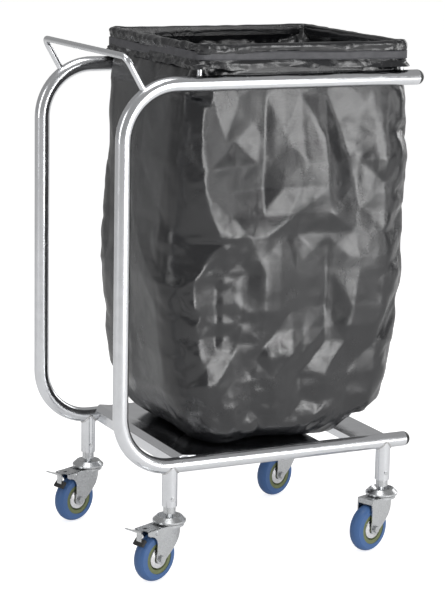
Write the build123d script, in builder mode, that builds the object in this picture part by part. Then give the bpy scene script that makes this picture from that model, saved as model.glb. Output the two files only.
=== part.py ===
from build123d import *
import os
from math import cos, radians, sin, sqrt

os.makedirs("parts", exist_ok=True)

# A linen trolley: two bent side tubes joined by a folded base, a push handle and a
# hoop that holds a bag open, on four swivel castors, the two under the handle braked.
# Frame: +X runs along the side tubes from the handle to their open ends, +Y is to the
# left of a person pushing, +Z is up. The origin is on the floor at the trolley's middle.

# ---------------------------------------------------------------- driving dimensions
weld_fit = 0.05          # gap left between pieces that are welded or pressed together
run_fit = 0.08           # radial clearance of a shaft that turns in its hole
soft_clear = 0.3         # clearance round the bag and its band

tube_d = 25.0            # side tubes and legs
tube_wall = 1.5
frame_length = 533.5     # back of the bends to the cut ends of the tubes
frame_spacing = 342.0    # between the centre lines of the two side tubes
lower_z = 184.5          # centre line of the lower runs
upper_z = 795.0          # centre line of the upper runs
bend_r = 88.0            # centre line radius of the bends
plug_dome = 10.5         # how far an end plug stands out of its tube
plug_depth = 16.0

leg_inset = 87.5         # upright centre line to the back legs
leg_pitch = 394.5        # back legs to front legs
leg_screw_d = 4.0
leg_screw_rise = 13.0    # above the bottom of the leg

handle_d = 10.0
handle_rise = 44.5       # bar centre above the upper runs
handle_set_in = 3.5      # bar centre in front of the uprights
handle_corner_r = 15.0
handle_foot_angle = 55.5  # where its feet meet the bends, above horizontal

hoop_d = 8.0
hoop_inset = 126.5       # upright centre line to the hoop's back rod
hoop_length = 367.0
hoop_rise = 54.0         # hoop centre above the upper runs
hoop_corner_r = 8.0

sheet_t = 1.5            # folded steel of the base
tray_back = 97.5         # upright centre line to the tray's back face
tray_length = 262.0
tray_lip = 16.5          # height of its back face
tray_top_rise = 12.25    # tray's flat top above the lower centre line
ridge_rise = 3.5         # back ridge above the flat top
ridge_run = 11.0         # sloped shoulder, back face to ridge
ridge_slope = 27.0       # ridge to flat
bar_gap = 60.0           # tray's front edge to the front cross bar
bar_width = 64.0
bar_flange = 12.0

film = 2.0               # bag wall, stands for thin film with loose folds
cuff_drop = 38.0         # hoop centre down to the hem of the turned-over cuff
band_t = 1.5
band_h = 13.0
band_drop = 7.0          # hoop centre down to the band's upper edge

wheel_d = 80.0
tread_w = 24.0
tyre_t = 13.5
hub_cover_r = 20.0
trail = 33.0             # swivel axis to wheel axle
castor_turn = 200.5      # direction in which all four castors trail
fork_gap = 29.0          # between the cheeks
fork_t = 2.0
crown_gap = 11.0         # tyre to the top of the fork
crown_r = 24.0
axle_d = 6.0
sleeve_d = 10.0
nut_af = 10.0
nut_h = 5.0
bolt_head_h = 4.0
kingpin_d = 12.0
collar_d = 20.0
ball_d = 6.0
ball_circle_r = 20.0
ball_count = 16
race_r = 27.0
race_rise = 11.5         # ridge of the top race above the fork
leg_gap = 27.0           # bottom of the legs above the fork

brake_gap = 2.6          # pad to tyre with the brake off
pad_t = 5.0
pad_w = 21.0
pad_angle = 43.0         # middle of the pad above the axle
pad_span = 15.0
pedal_t = 1.8
pedal_reach = 52.0       # swivel axis side of the axle to the end of the pedal
pedal_bar_w = 34.0
rivet_d = 5.0
spring_wire = 1.0

# ---------------------------------------------------------------- places worked out
tube_r = tube_d / 2
bore_r = tube_r - tube_wall
back_x = tube_r - (frame_length + plug_dome) / 2
end_x = back_x + frame_length - tube_r
side_y = frame_spacing / 2
wheel_r = wheel_d / 2
crown_z = wheel_d + crown_gap
leg_bottom = crown_z + leg_gap
back_leg_x = back_x + leg_inset
front_leg_x = back_leg_x + leg_pitch
bend_x = back_x + bend_r
hoop_z = upper_z + hoop_rise
hoop_back = back_x + hoop_inset
hoop_front = hoop_back + hoop_length
hoop_mid = (hoop_back + hoop_front) / 2
tray_z = lower_z + tray_top_rise
tray_x = back_x + tray_back
tray_front = tray_x + tray_length
bar_x = tray_front + bar_gap
far_out = 2 * (frame_length + frame_spacing)

leg_places = [(x, y, 0) for x in (back_leg_x, front_leg_x) for y in (-side_y, side_y)]


def save(piece, name):
    piece.part.label = name
    export_step(piece.part, f"parts/{name}.step")


# ---------------------------------------------------------------- welded frame
def side_run(y):
    """Centre line of one side tube: upper run, back upright, lower run."""
    return FilletPolyline(
        (end_x, y, upper_z), (back_x, y, upper_z), (back_x, y, lower_z), (end_x, y, lower_z),
        radius=bend_r,
    )


def side_envelope(y):
    """A solid bar a weld gap larger than the side tube, to cope what is welded to it."""
    with BuildPart() as envelope:
        with BuildLine():
            side_run(y)
        with BuildSketch(Plane((end_x, y, upper_z), x_dir=(0, 1, 0), z_dir=(-1, 0, 0))):
            Circle(tube_r + weld_fit)
        sweep()
    return envelope.part


envelopes = [side_envelope(-side_y), side_envelope(side_y)]

# Each side is one bent tube, open towards the front.
for side, y in (("right", -side_y), ("left", side_y)):
    with BuildPart() as side_frame:
        with BuildLine():
            side_run(y)
        with BuildSketch(Plane((end_x, y, upper_z), x_dir=(0, 1, 0), z_dir=(-1, 0, 0))):
            Circle(tube_r)
            Circle(bore_r, mode=Mode.SUBTRACT)
        sweep()
    save(side_frame, f"side_frame_{side}")

# Four domed plugs close the tube ends.
with BuildPart() as end_plugs:
    dome_r = (tube_r**2 + plug_dome**2) / (2 * plug_dome)
    for y in (-side_y, side_y):
        for z in (lower_z, upper_z):
            with BuildSketch(Plane((end_x, y, z), x_dir=(0, 1, 0), z_dir=(0, 0, 1))):
                with BuildLine():
                    RadiusArc((0, -plug_dome), (tube_r, 0), -dome_r)
                    Polyline(
                        (tube_r, 0), (bore_r - weld_fit, 0), (bore_r - weld_fit, plug_depth),
                        (0, plug_depth), (0, -plug_dome),
                    )
                make_face()
            revolve(axis=Axis((end_x, y, z), (1, 0, 0)))
save(end_plugs, "end_plugs")

# Four legs of the same tube, coped to the lower runs, each with a screw hole.
with BuildPart() as legs:
    with BuildSketch(Plane.XY.offset(leg_bottom)):
        with Locations(*[(x, y) for x, y, _ in leg_places]):
            Circle(tube_r)
            Circle(bore_r, mode=Mode.SUBTRACT)
    extrude(amount=lower_z - leg_bottom)
    for envelope in envelopes:
        add(envelope, mode=Mode.SUBTRACT)
    for x, y, _ in leg_places:
        with BuildSketch(Plane((x, y, leg_bottom + leg_screw_rise), x_dir=(1, 0, 0), z_dir=(0, -1, 0))):
            Circle(leg_screw_d / 2 + weld_fit)
        extrude(amount=tube_d, mode=Mode.SUBTRACT)
save(legs, "legs")

# A round-headed screw pins each castor's plug in its leg.
screw_in = 7.0
screw_head_r = 3.4
screw_head_h = 1.6
with BuildPart() as leg_screws:
    for x, y, _ in leg_places:
        seat = Plane((x, y - tube_r, leg_bottom + leg_screw_rise), x_dir=(1, 0, 0), z_dir=(0, -1, 0))
        with BuildSketch(seat.offset(-screw_in)):
            Circle(leg_screw_d / 2)
        extrude(amount=screw_in)
        with BuildSketch(seat):
            Circle(screw_head_r)
        extrude(amount=screw_head_h)
save(leg_screws, "leg_screws")

# The push handle is one rod, its feet welded on top of the two upper bends.
foot_x = bend_x - bend_r * cos(radians(handle_foot_angle))
foot_z = upper_z - bend_r + bend_r * sin(radians(handle_foot_angle))
bar_end_x = back_x + handle_set_in
bar_end_z = upper_z + handle_rise
with BuildPart() as push_handle:
    with BuildLine() as handle_run:
        FilletPolyline(
            (foot_x, -side_y, foot_z), (bar_end_x, -side_y, bar_end_z),
            (bar_end_x, side_y, bar_end_z), (foot_x, side_y, foot_z),
            radius=handle_corner_r,
        )
    with BuildSketch(Plane(handle_run.line @ 0, x_dir=(0, 1, 0), z_dir=handle_run.line % 0)):
        Circle(handle_d / 2)
    sweep()
    for envelope in envelopes:
        add(envelope, mode=Mode.SUBTRACT)
save(push_handle, "push_handle")

# ---------------------------------------------------------------- hoop for the bag
with BuildPart() as bag_hoop:
    with BuildLine() as hoop_run:
        Line((hoop_mid, -side_y, hoop_z), (hoop_front - hoop_corner_r, -side_y, hoop_z))
        RadiusArc((hoop_front - hoop_corner_r, -side_y, hoop_z),
                  (hoop_front, -side_y + hoop_corner_r, hoop_z), -hoop_corner_r)
        Line((hoop_front, -side_y + hoop_corner_r, hoop_z), (hoop_front, side_y - hoop_corner_r, hoop_z))
        RadiusArc((hoop_front, side_y - hoop_corner_r, hoop_z),
                  (hoop_front - hoop_corner_r, side_y, hoop_z), -hoop_corner_r)
        Line((hoop_front - hoop_corner_r, side_y, hoop_z), (hoop_back + hoop_corner_r, side_y, hoop_z))
        RadiusArc((hoop_back + hoop_corner_r, side_y, hoop_z),
                  (hoop_back, side_y - hoop_corner_r, hoop_z), -hoop_corner_r)
        Line((hoop_back, side_y - hoop_corner_r, hoop_z), (hoop_back, -side_y + hoop_corner_r, hoop_z))
        RadiusArc((hoop_back, -side_y + hoop_corner_r, hoop_z),
                  (hoop_back + hoop_corner_r, -side_y, hoop_z), -hoop_corner_r)
        Line((hoop_back + hoop_corner_r, -side_y, hoop_z), (hoop_mid, -side_y, hoop_z))
    with BuildSketch(Plane((hoop_mid, -side_y, hoop_z), x_dir=(0, 1, 0), z_dir=(1, 0, 0))):
        Circle(hoop_d / 2)
    sweep()
save(bag_hoop, "bag_hoop")

# A short post under each corner of the hoop stands on the side tube below it.
corner_in = hoop_corner_r * (1 - 1 / sqrt(2))
post_places = [
    (x, y)
    for x in (hoop_back + corner_in, hoop_front - corner_in)
    for y in (-side_y + corner_in, side_y - corner_in)
]
with BuildPart() as hoop_posts:
    with BuildSketch(Plane.XY.offset(upper_z)):
        with Locations(*post_places):
            Circle(hoop_d / 2)
    extrude(amount=hoop_rise)
    for envelope in envelopes:
        add(envelope, mode=Mode.SUBTRACT)
    add(bag_hoop.part, mode=Mode.SUBTRACT)
save(hoop_posts, "hoop_posts")

# ---------------------------------------------------------------- folded base
def folded_sheet(points):
    """A sheet folded along points (x, z), its ends coped to the two lower runs."""
    with BuildPart() as sheet:
        with BuildSketch(Plane.XZ):
            with BuildLine():
                Polyline(*points)
                offset(amount=sheet_t, side=Side.RIGHT)
            make_face()
        extrude(amount=side_y, both=True)
        for envelope in envelopes:
            add(envelope, mode=Mode.SUBTRACT)
    return sheet.part.solids().sort_by(SortBy.VOLUME)[-1]


# The tray under the bag: back face, sloped shoulder, ridge, flat top and front lip.
ridge_x = tray_x + ridge_run
flat_x = ridge_x + ridge_slope
shoulder_z = tray_z + ridge_rise - ridge_run * 0.7
tray_points = [
    (tray_x, shoulder_z - tray_lip), (tray_x, shoulder_z), (ridge_x, tray_z + ridge_rise),
    (flat_x, tray_z), (tray_front, tray_z), (tray_front, tray_z - bar_flange),
]
with BuildPart() as base_tray:
    add(folded_sheet(tray_points))
save(base_tray, "base_tray")

# The front cross bar: a shallow channel open below, coped to the two side tubes.
bar_points = [
    (bar_x, tray_z - bar_flange), (bar_x, tray_z), (bar_x + bar_width, tray_z),
    (bar_x + bar_width, tray_z - bar_flange),
]
with BuildPart() as front_bar:
    add(folded_sheet(bar_points))
save(front_bar, "front_bar")

# ---------------------------------------------------------------- bag and its band
rod_space = hoop_d / 2 + soft_clear      # half the slot that the hoop rod lies in
cuff_out = rod_space + film
cuff_z = hoop_z - cuff_drop
rim_z = hoop_z + rod_space + film
tube_in_y = side_y - tube_r
bag_floor = tray_z + ridge_rise / 3


def hoop_rectangle(out, mode=Mode.ADD):
    """The hoop's outline grown by out, with its corners to match."""
    RectangleRounded(hoop_length + 2 * out, frame_spacing + 2 * out, hoop_corner_r + out, mode=mode)


# Height up the bag (0 at its floor, 1 at the top of the side tubes), how far it bulges
# past the hoop at the back and the front, room left beside the tubes, corner radius.
bag_stations = [
    (0.00, -42, -84, 26, 30),
    (0.03, -26, -42, 15, 34),
    (0.08, -12, -8, 11, 36),
    (0.15, 8, 9, 8, 36),
    (0.24, 25, 17, 6, 34),
    (0.46, 36, 26, 4, 32),
    (0.75, 24, 28, 4, 30),
    (0.96, 13, 20, 3, 26),
    (1.00, 5, 9, 1, 18),
]
bag_neck_z = upper_z + tube_d / 5
skirt_z = upper_z + tube_r + 2 * film + soft_clear


def bag_shell(inset):
    """The bag's solid outline, from its floor to inside the hoop, taken in by inset."""
    with BuildPart() as shell:
        for share, back, front, side_room, corner in bag_stations:
            x_low = hoop_back - back + inset
            x_high = hoop_front + front - inset
            z_low = bag_floor + inset
            with BuildSketch(Plane.XY.offset(z_low + share * (bag_neck_z - z_low))):
                with Locations(((x_low + x_high) / 2, 0)):
                    RectangleRounded(x_high - x_low, 2 * (tube_in_y - side_room - inset), corner)
        with BuildSketch(Plane.XY.offset(skirt_z)):
            with Locations((hoop_mid, 0)):
                hoop_rectangle(-rod_space - inset)
        loft(ruled=True)
    return shell.part


with BuildPart() as linen_bag:
    add(bag_shell(0))
    with BuildSketch(Plane.XY.offset(cuff_z)):
        with Locations((hoop_mid, 0)):
            hoop_rectangle(cuff_out)
    extrude(amount=rim_z - cuff_z)
    with BuildSketch(Plane.XY.offset(cuff_z)):
        with Locations((hoop_mid, 0)):
            hoop_rectangle(rod_space)
            hoop_rectangle(-rod_space, mode=Mode.SUBTRACT)
    extrude(amount=rim_z - film - cuff_z, mode=Mode.SUBTRACT)
    add(bag_shell(film), mode=Mode.SUBTRACT)
    with BuildSketch(Plane.XY.offset(skirt_z)):
        with Locations((hoop_mid, 0)):
            hoop_rectangle(-rod_space - film)
    extrude(amount=rim_z - skirt_z, mode=Mode.SUBTRACT)
save(linen_bag, "linen_bag")

# A flat rubber band grips the cuff below the hoop.
with BuildPart() as retaining_band:
    with BuildSketch(Plane.XY.offset(hoop_z - band_drop - band_h)):
        with Locations((hoop_mid, 0)):
            hoop_rectangle(cuff_out + soft_clear + band_t)
            hoop_rectangle(cuff_out + soft_clear, mode=Mode.SUBTRACT)
    extrude(amount=band_h)
save(retaining_band, "retaining_band")

# ---------------------------------------------------------------- castors
# Each piece is made about the swivel axis, the wheel trailing along +X, then turned and
# copied under the legs. The axle lies along Y.
axle_hole_r = axle_d / 2 + weld_fit
sleeve_r = sleeve_d / 2
kingpin_r = kingpin_d / 2
ball_mid_z = crown_z + weld_fit + ball_d / 2
race_z = ball_mid_z + ball_d / 2 + weld_fit
rivet_x = trail + 9.0
rivet_z = crown_z - 6.5
cheek_out = fork_gap / 2 + fork_t
fork_nose = 22.0         # leading edge of the fork in front of the swivel axis
fork_flat = 15.0         # where the cheeks start to curve round to the nose
crown_t = 4.0
boss_r = 9.5             # rounded cheek ends round the axle

# The plug in the leg, with the pin that carries the fork headed over below it.
pin_head_r = 9.0
pin_head_t = 3.0
pin_shoulder_rise = 15.5
plug_rise = 30.0
pin_head_z = crown_z - crown_t - run_fit
with BuildPart() as castor_stem:
    with BuildSketch(Plane.XZ):
        with BuildLine():
            Polyline(
                (0, pin_head_z - pin_head_t), (pin_head_r - pin_head_t / 2, pin_head_z - pin_head_t),
                (pin_head_r, pin_head_z - pin_head_t / 2), (pin_head_r, pin_head_z),
                (kingpin_r, pin_head_z), (kingpin_r, crown_z + pin_shoulder_rise),
                (collar_d / 2, crown_z + pin_shoulder_rise), (collar_d / 2, leg_bottom - weld_fit),
                (bore_r - weld_fit, leg_bottom - weld_fit), (bore_r - weld_fit, leg_bottom + plug_rise),
                (0, leg_bottom + plug_rise), close=True,
            )
        make_face()
    revolve(axis=Axis.Z)
    screw_end = Plane(
        (0, screw_in - tube_r + 1, leg_bottom + leg_screw_rise), x_dir=(1, 0, 0), z_dir=(0, -1, 0)
    )
    with BuildSketch(screw_end):
        Circle(leg_screw_d / 2 + weld_fit)
    extrude(amount=tube_r, mode=Mode.SUBTRACT)

# The dished ring above the fork: the upper half of the ball race, fixed to the pin.
race_rim_z = crown_z + 2.0
dish_r = 11.5
with BuildPart() as top_race:
    with BuildSketch(Plane.XZ):
        with BuildLine():
            Polyline(
                (kingpin_r + weld_fit, race_z - 2.5), (ball_circle_r - ball_d, race_z - 2.5),
                (ball_circle_r - ball_d / 2, race_z), (ball_circle_r + ball_d / 2, race_z),
                (race_r - 1.2, race_z - 1.8), (race_r - 1.2, race_rim_z), (race_r, race_rim_z),
                (race_r, race_rim_z + 3.2), (race_r - 6.5, crown_z + race_rise),
                (race_r - 8.0, crown_z + race_rise), (dish_r, race_z + 0.6),
                (kingpin_r + weld_fit, race_z + 0.6), close=True,
            )
        make_face()
    revolve(axis=Axis.Z)

with BuildPart() as swivel_balls:
    with Locations((0, 0, ball_mid_z)):
        with PolarLocations(ball_circle_r, ball_count):
            Sphere(ball_d / 2)


def cheek_outline(braked):
    """The fork seen from the side, out to the wheel side of its cheeks."""
    boss_x = trail + boss_r
    if braked:
        Polyline((boss_x, wheel_r), (boss_x - 1, crown_z - 27))
        Spline(
            (boss_x - 1, crown_z - 27), (trail + 14, crown_z - 13.5), (trail + 25, crown_z - 9.5),
            tangents=[(-0.1, 1), (1, 0.05)],
        )
        Polyline(
            (trail + 25, crown_z - 9.5), (trail + 31, crown_z - 6), (trail + 32, crown_z - 3),
            (trail + 29, crown_z - 1.5), (trail - 9, crown_z), (-fork_nose, crown_z),
        )
    else:
        Polyline((boss_x, wheel_r), (boss_x, crown_z), (-fork_nose, crown_z))
    Spline(
        (-fork_nose, crown_z), (-fork_nose + 4.5, crown_z - 14), (-10, crown_z - 25),
        (2.5, crown_z - 37), (trail - boss_r * sin(radians(45)), wheel_r - boss_r * cos(radians(45))),
    )
    ThreePointArc(
        (trail - boss_r * sin(radians(45)), wheel_r - boss_r * cos(radians(45))),
        (trail + boss_r * sin(radians(22.5)), wheel_r - boss_r * cos(radians(22.5))),
        (boss_x, wheel_r),
    )


def plan_outline(inset):
    """The fork seen from above: flat cheeks that curve round to a nose."""
    nose = fork_flat + fork_nose - inset
    half = cheek_out - inset
    tail = trail + 3 * boss_r + 4 * inset
    EllipticalCenterArc((fork_flat, 0), nose, half, start_angle=90, arc_size=180)
    Polyline((fork_flat, half), (tail, half), (tail, -half), (fork_flat, -half))


# The fork is pressed from one sheet: a round crown, two cheeks and a curved nose.
def castor_fork(braked):
    with BuildPart() as fork:
        with BuildSketch(Plane.XY):
            with BuildLine():
                plan_outline(0)
            make_face()
        extrude(amount=crown_z)
        with BuildSketch(Plane.XZ):
            with BuildLine():
                cheek_outline(braked)
            make_face()
        extrude(amount=cheek_out + fork_t, both=True, mode=Mode.INTERSECT)
        with BuildSketch(Plane.XY):
            with BuildLine():
                plan_outline(fork_t)
            make_face()
        extrude(amount=crown_z - fork_t, mode=Mode.SUBTRACT)
        if braked:
            with BuildSketch(Plane.XY.offset(wheel_r)):
                with Locations((trail - 5, 0)):
                    Rectangle(far_out, fork_gap, align=(Align.MIN, Align.CENTER))
            extrude(amount=far_out, mode=Mode.SUBTRACT)
        else:
            with BuildSketch(Plane.YZ.offset(trail + boss_r - fork_t)):
                with Locations((0, crown_z)):
                    Rectangle(fork_gap, crown_gap - 2.5, align=(Align.CENTER, Align.MAX))
            extrude(amount=fork_t)
        with BuildSketch(Plane.XY.offset(crown_z - crown_t)):
            Circle(crown_r)
        extrude(amount=crown_t)
        Hole(kingpin_r + run_fit)
        with Locations(Plane.XZ * Location((trail, wheel_r, 0))):
            Hole(axle_hole_r)
        if braked:
            with Locations(Plane.XZ * Location((rivet_x, rivet_z, 0))):
                Hole(rivet_d / 2 + weld_fit)
    return fork.part


# Axle: a bolt and nut through the cheeks, and the sleeve that the wheel turns on.
def hexagon(across_flats):
    RegularPolygon(across_flats / 2, 6, major_radius=False)


with BuildPart() as axle_bolt:
    with BuildSketch(Plane((trail, cheek_out + weld_fit, wheel_r), x_dir=(1, 0, 0), z_dir=(0, 1, 0))):
        hexagon(nut_af)
    extrude(amount=bolt_head_h)
    with BuildSketch(Plane((trail, cheek_out + weld_fit, wheel_r), x_dir=(1, 0, 0), z_dir=(0, -1, 0))):
        Circle(axle_d / 2)
    extrude(amount=2 * cheek_out + 2 * weld_fit + nut_h + 1.5)

with BuildPart() as axle_nut:
    with BuildSketch(Plane((trail, -cheek_out - weld_fit, wheel_r), x_dir=(1, 0, 0), z_dir=(0, -1, 0))):
        hexagon(nut_af)
        Circle(axle_hole_r, mode=Mode.SUBTRACT)
    extrude(amount=nut_h)

with BuildPart() as axle_sleeve:
    with BuildSketch(Plane((trail, 0, wheel_r), x_dir=(1, 0, 0), z_dir=(0, 1, 0))):
        Circle(sleeve_r)
        Circle(axle_hole_r, mode=Mode.SUBTRACT)
    extrude(amount=fork_gap / 2 - weld_fit, both=True)

# Wheel: a moulded core, a tyre bonded round it and a domed cover on each side.
axle_line = Axis((trail, 0, wheel_r), (0, 1, 0))
wheel_plane = Plane((trail, 0, wheel_r), x_dir=(0, 1, 0), z_dir=(1, 0, 0))
core_r = wheel_r - tyre_t
hub_half = fork_gap / 2 - 1.0
rim_half = tread_w / 2 - 1.0
web_half = 3.0
hub_r = sleeve_r + 3.5
with BuildPart() as wheel_core:
    with BuildSketch(wheel_plane):
        with BuildLine():
            Polyline(
                (-hub_half, sleeve_r + run_fit), (-hub_half, hub_r), (-web_half, hub_r),
                (-web_half, hub_cover_r - 2), (-rim_half, hub_cover_r), (-rim_half, core_r),
                (rim_half, core_r), (rim_half, hub_cover_r), (web_half, hub_cover_r - 2),
                (web_half, hub_r), (hub_half, hub_r), (hub_half, sleeve_r + run_fit), close=True,
            )
        make_face()
    revolve(axis=axle_line)

shoulder = 5.0
with BuildPart() as tyre:
    with BuildSketch(wheel_plane):
        with BuildLine():
            Polyline((tread_w / 2 - shoulder / 4, wheel_r - shoulder), (tread_w / 2, core_r + weld_fit),
                     (-tread_w / 2, core_r + weld_fit), (-tread_w / 2 + shoulder / 4, wheel_r - shoulder))
            ThreePointArc((-tread_w / 2 + shoulder / 4, wheel_r - shoulder), (0, wheel_r),
                          (tread_w / 2 - shoulder / 4, wheel_r - shoulder))
        make_face()
    revolve(axis=axle_line)

cover_t = 0.8
cover_edge = hub_cover_r - 2.2
with BuildPart() as hub_covers:
    for side in (-1, 1):
        with BuildSketch(wheel_plane):
            with BuildLine():
                Polyline(
                    (side * (web_half + weld_fit), cover_edge),
                    (side * (rim_half - 1), cover_edge), (side * rim_half, cover_edge - 1),
                    (side * (hub_half - 1), hub_r + 2.5), (side * (hub_half - 1), hub_r + weld_fit),
                    (side * (hub_half - 1 - cover_t), hub_r + weld_fit),
                    (side * (hub_half - 1 - cover_t), hub_r + 2.2),
                    (side * (rim_half - cover_t), cover_edge - 1.5),
                    (side * (rim_half - cover_t - 1), cover_edge - cover_t),
                    (side * (web_half + weld_fit), cover_edge - cover_t), close=True,
                )
            make_face()
        revolve(axis=axle_line)

# ---------------------------------------------------------------- brakes
# The pedal is a stamped lever between the cheeks, hinged on a rivet. Its arm carries a
# rubber-faced pad that swings down onto the tyre.
pedal_half = fork_gap / 2 - 0.9
pedal_z = crown_z - 1.6
pedal_from = trail - 2.0
pedal_to = trail + pedal_reach
ear_t = 1.2
neck_w = 13.0
arm_x = trail + (wheel_r + brake_gap + pad_t) * cos(radians(pad_angle))
arm_t = 3.0
plate_to = rivet_x + 18.0
bend_up_x = arm_x + 1.0
pedal_tip_z = pedal_z + 4.5


def pad_sector(inner, outer, span):
    """The side view of a block that curves round the tyre at the pad's angle."""
    low = radians(pad_angle - span / 2)
    mid = radians(pad_angle)
    high = radians(pad_angle + span / 2)

    def rim_point(r, angle):
        return (trail + r * cos(angle), wheel_r + r * sin(angle))

    ThreePointArc(rim_point(inner, low), rim_point(inner, mid), rim_point(inner, high))
    Line(rim_point(inner, high), rim_point(outer, high))
    ThreePointArc(rim_point(outer, high), rim_point(outer, mid), rim_point(outer, low))
    Line(rim_point(outer, low), rim_point(inner, low))


pad_in_r = wheel_r + brake_gap
pad_out_r = pad_in_r + pad_t
with BuildPart() as brake_pad:
    with BuildSketch(Plane.XZ):
        with BuildLine():
            pad_sector(pad_in_r, pad_out_r, pad_span)
        make_face()
    extrude(amount=pad_w / 2, both=True)

with BuildPart() as brake_pedal:
    with BuildSketch(Plane.XZ):
        with BuildLine():
            Polyline(
                (pedal_from, pedal_z), (bend_up_x, pedal_z), (pedal_to, pedal_tip_z),
                (pedal_to, pedal_tip_z + pedal_t), (bend_up_x, pedal_z + pedal_t),
                (pedal_from, pedal_z + pedal_t), close=True,
            )
        make_face()
    extrude(amount=pedal_bar_w / 2, both=True)
    with BuildSketch(Plane.XY.offset(pedal_z)):
        with Locations((pedal_from, 0)):
            Rectangle(plate_to - pedal_from, 2 * pedal_half, align=(Align.MIN, Align.CENTER))
        with Locations((plate_to, 0)):
            Rectangle(pedal_to - plate_to - 4, neck_w, align=(Align.MIN, Align.CENTER))
        with Locations((pedal_to - 3.5, 0)):
            SlotOverall(pedal_bar_w, 7, rotation=90)
        with Locations((plate_to - 8, 0)):
            SlotOverall(12, 5, mode=Mode.SUBTRACT)
    extrude(amount=pedal_tip_z, mode=Mode.INTERSECT)
    for y in (-pedal_half, pedal_half - ear_t):
        with BuildSketch(Plane((0, y, 0), x_dir=(1, 0, 0), z_dir=(0, -1, 0))):
            with BuildLine():
                Polyline(
                    (rivet_x - 8, pedal_z), (rivet_x - 4, rivet_z - 4), (rivet_x + 4, rivet_z - 4),
                    (rivet_x + 12, pedal_z), close=True,
                )
            make_face()
        extrude(amount=-ear_t)
    with BuildSketch(Plane.XZ):
        with Locations((arm_x, pedal_z)):
            Rectangle(arm_t, crown_z / 4, align=(Align.MAX, Align.MAX))
        with Locations((trail, wheel_r)):
            Circle(pad_out_r + weld_fit, mode=Mode.SUBTRACT)
    extrude(amount=neck_w / 2 - 1, both=True)
    with Locations(Plane.XZ * Location((rivet_x, rivet_z, 0))):
        Hole(rivet_d / 2 + run_fit)

rivet_head_r = 4.2
rivet_head_h = 1.3
with BuildPart() as brake_rivet:
    with BuildSketch(Plane((rivet_x, 0, rivet_z), x_dir=(1, 0, 0), z_dir=(0, -1, 0))):
        Circle(rivet_d / 2)
    extrude(amount=cheek_out + weld_fit, both=True)
    for side in (-1, 1):
        head_plane = Plane(
            (rivet_x, side * (cheek_out + weld_fit), rivet_z), x_dir=(1, 0, 0), z_dir=(0, side, 0)
        )
        with BuildSketch(head_plane):
            Circle(rivet_head_r)
        extrude(amount=rivet_head_h, taper=25)

spring_r = rivet_d / 2 + spring_wire / 2 + soft_clear
spring_half = pedal_half - ear_t - 4.0
with BuildPart() as brake_spring:
    with BuildLine() as coil:
        Helix(
            pitch=1.5 * spring_wire, height=2 * spring_half, radius=spring_r,
            center=(rivet_x, -spring_half, rivet_z), direction=(0, 1, 0),
        )
    with BuildSketch(Plane(coil.line @ 0, z_dir=coil.line % 0)):
        Circle(spring_wire / 2)
    sweep(is_frenet=True)

# ---------------------------------------------------------------- castors in place
fixed_pieces = {"castor_stem": castor_stem.part, "top_race": top_race.part}
castor_pieces = {
    "swivel_balls": swivel_balls.part,
    "axle_bolt": axle_bolt.part,
    "axle_nut": axle_nut.part,
    "axle_sleeve": axle_sleeve.part,
    "wheel_core": wheel_core.part,
    "tyre": tyre.part,
    "hub_covers": hub_covers.part,
}
brake_pieces = {
    "brake_pedal": brake_pedal.part,
    "brake_pad": brake_pad.part,
    "brake_rivet": brake_rivet.part,
    "brake_spring": brake_spring.part,
}
corners = {
    "back_right": (back_leg_x, -side_y),
    "back_left": (back_leg_x, side_y),
    "front_right": (front_leg_x, -side_y),
    "front_left": (front_leg_x, side_y),
}
for corner, (x, y) in corners.items():
    braked = corner.startswith("back")
    turning_pieces = dict(castor_pieces, castor_fork=castor_fork(braked))
    if braked:
        turning_pieces.update(brake_pieces)
    for turn, pieces in ((0, fixed_pieces), (castor_turn, turning_pieces)):
        for name, solid in pieces.items():
            with BuildPart() as placed:
                add(solid.moved(Location((x, y, 0), (0, 0, turn))))
            save(placed, f"{name}_{corner}")
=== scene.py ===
import math

import bmesh
import bpy
import numpy as np
from mathutils import Matrix, Vector, geometry, noise


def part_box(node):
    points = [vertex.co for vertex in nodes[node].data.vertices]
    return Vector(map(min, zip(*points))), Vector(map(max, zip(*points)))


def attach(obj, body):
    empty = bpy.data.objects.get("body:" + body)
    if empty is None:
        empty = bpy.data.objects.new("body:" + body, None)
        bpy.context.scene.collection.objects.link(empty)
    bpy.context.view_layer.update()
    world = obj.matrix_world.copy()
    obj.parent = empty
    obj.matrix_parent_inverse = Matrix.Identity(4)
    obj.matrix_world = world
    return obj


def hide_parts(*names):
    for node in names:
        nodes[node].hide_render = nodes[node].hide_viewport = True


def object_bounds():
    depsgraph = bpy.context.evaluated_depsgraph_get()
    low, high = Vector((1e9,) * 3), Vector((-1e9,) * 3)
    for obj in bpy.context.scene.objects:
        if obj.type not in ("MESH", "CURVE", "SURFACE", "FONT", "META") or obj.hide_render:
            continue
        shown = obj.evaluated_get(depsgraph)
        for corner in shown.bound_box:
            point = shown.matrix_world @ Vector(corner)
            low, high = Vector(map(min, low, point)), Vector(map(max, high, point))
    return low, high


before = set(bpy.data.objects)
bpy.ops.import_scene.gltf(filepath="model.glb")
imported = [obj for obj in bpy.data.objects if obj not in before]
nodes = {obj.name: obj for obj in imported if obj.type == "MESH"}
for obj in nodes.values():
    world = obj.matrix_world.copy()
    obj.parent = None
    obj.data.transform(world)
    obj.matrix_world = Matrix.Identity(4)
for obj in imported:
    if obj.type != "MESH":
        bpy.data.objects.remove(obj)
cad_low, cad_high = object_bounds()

corners = ("back_right", "back_left", "front_right", "front_left")

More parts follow.
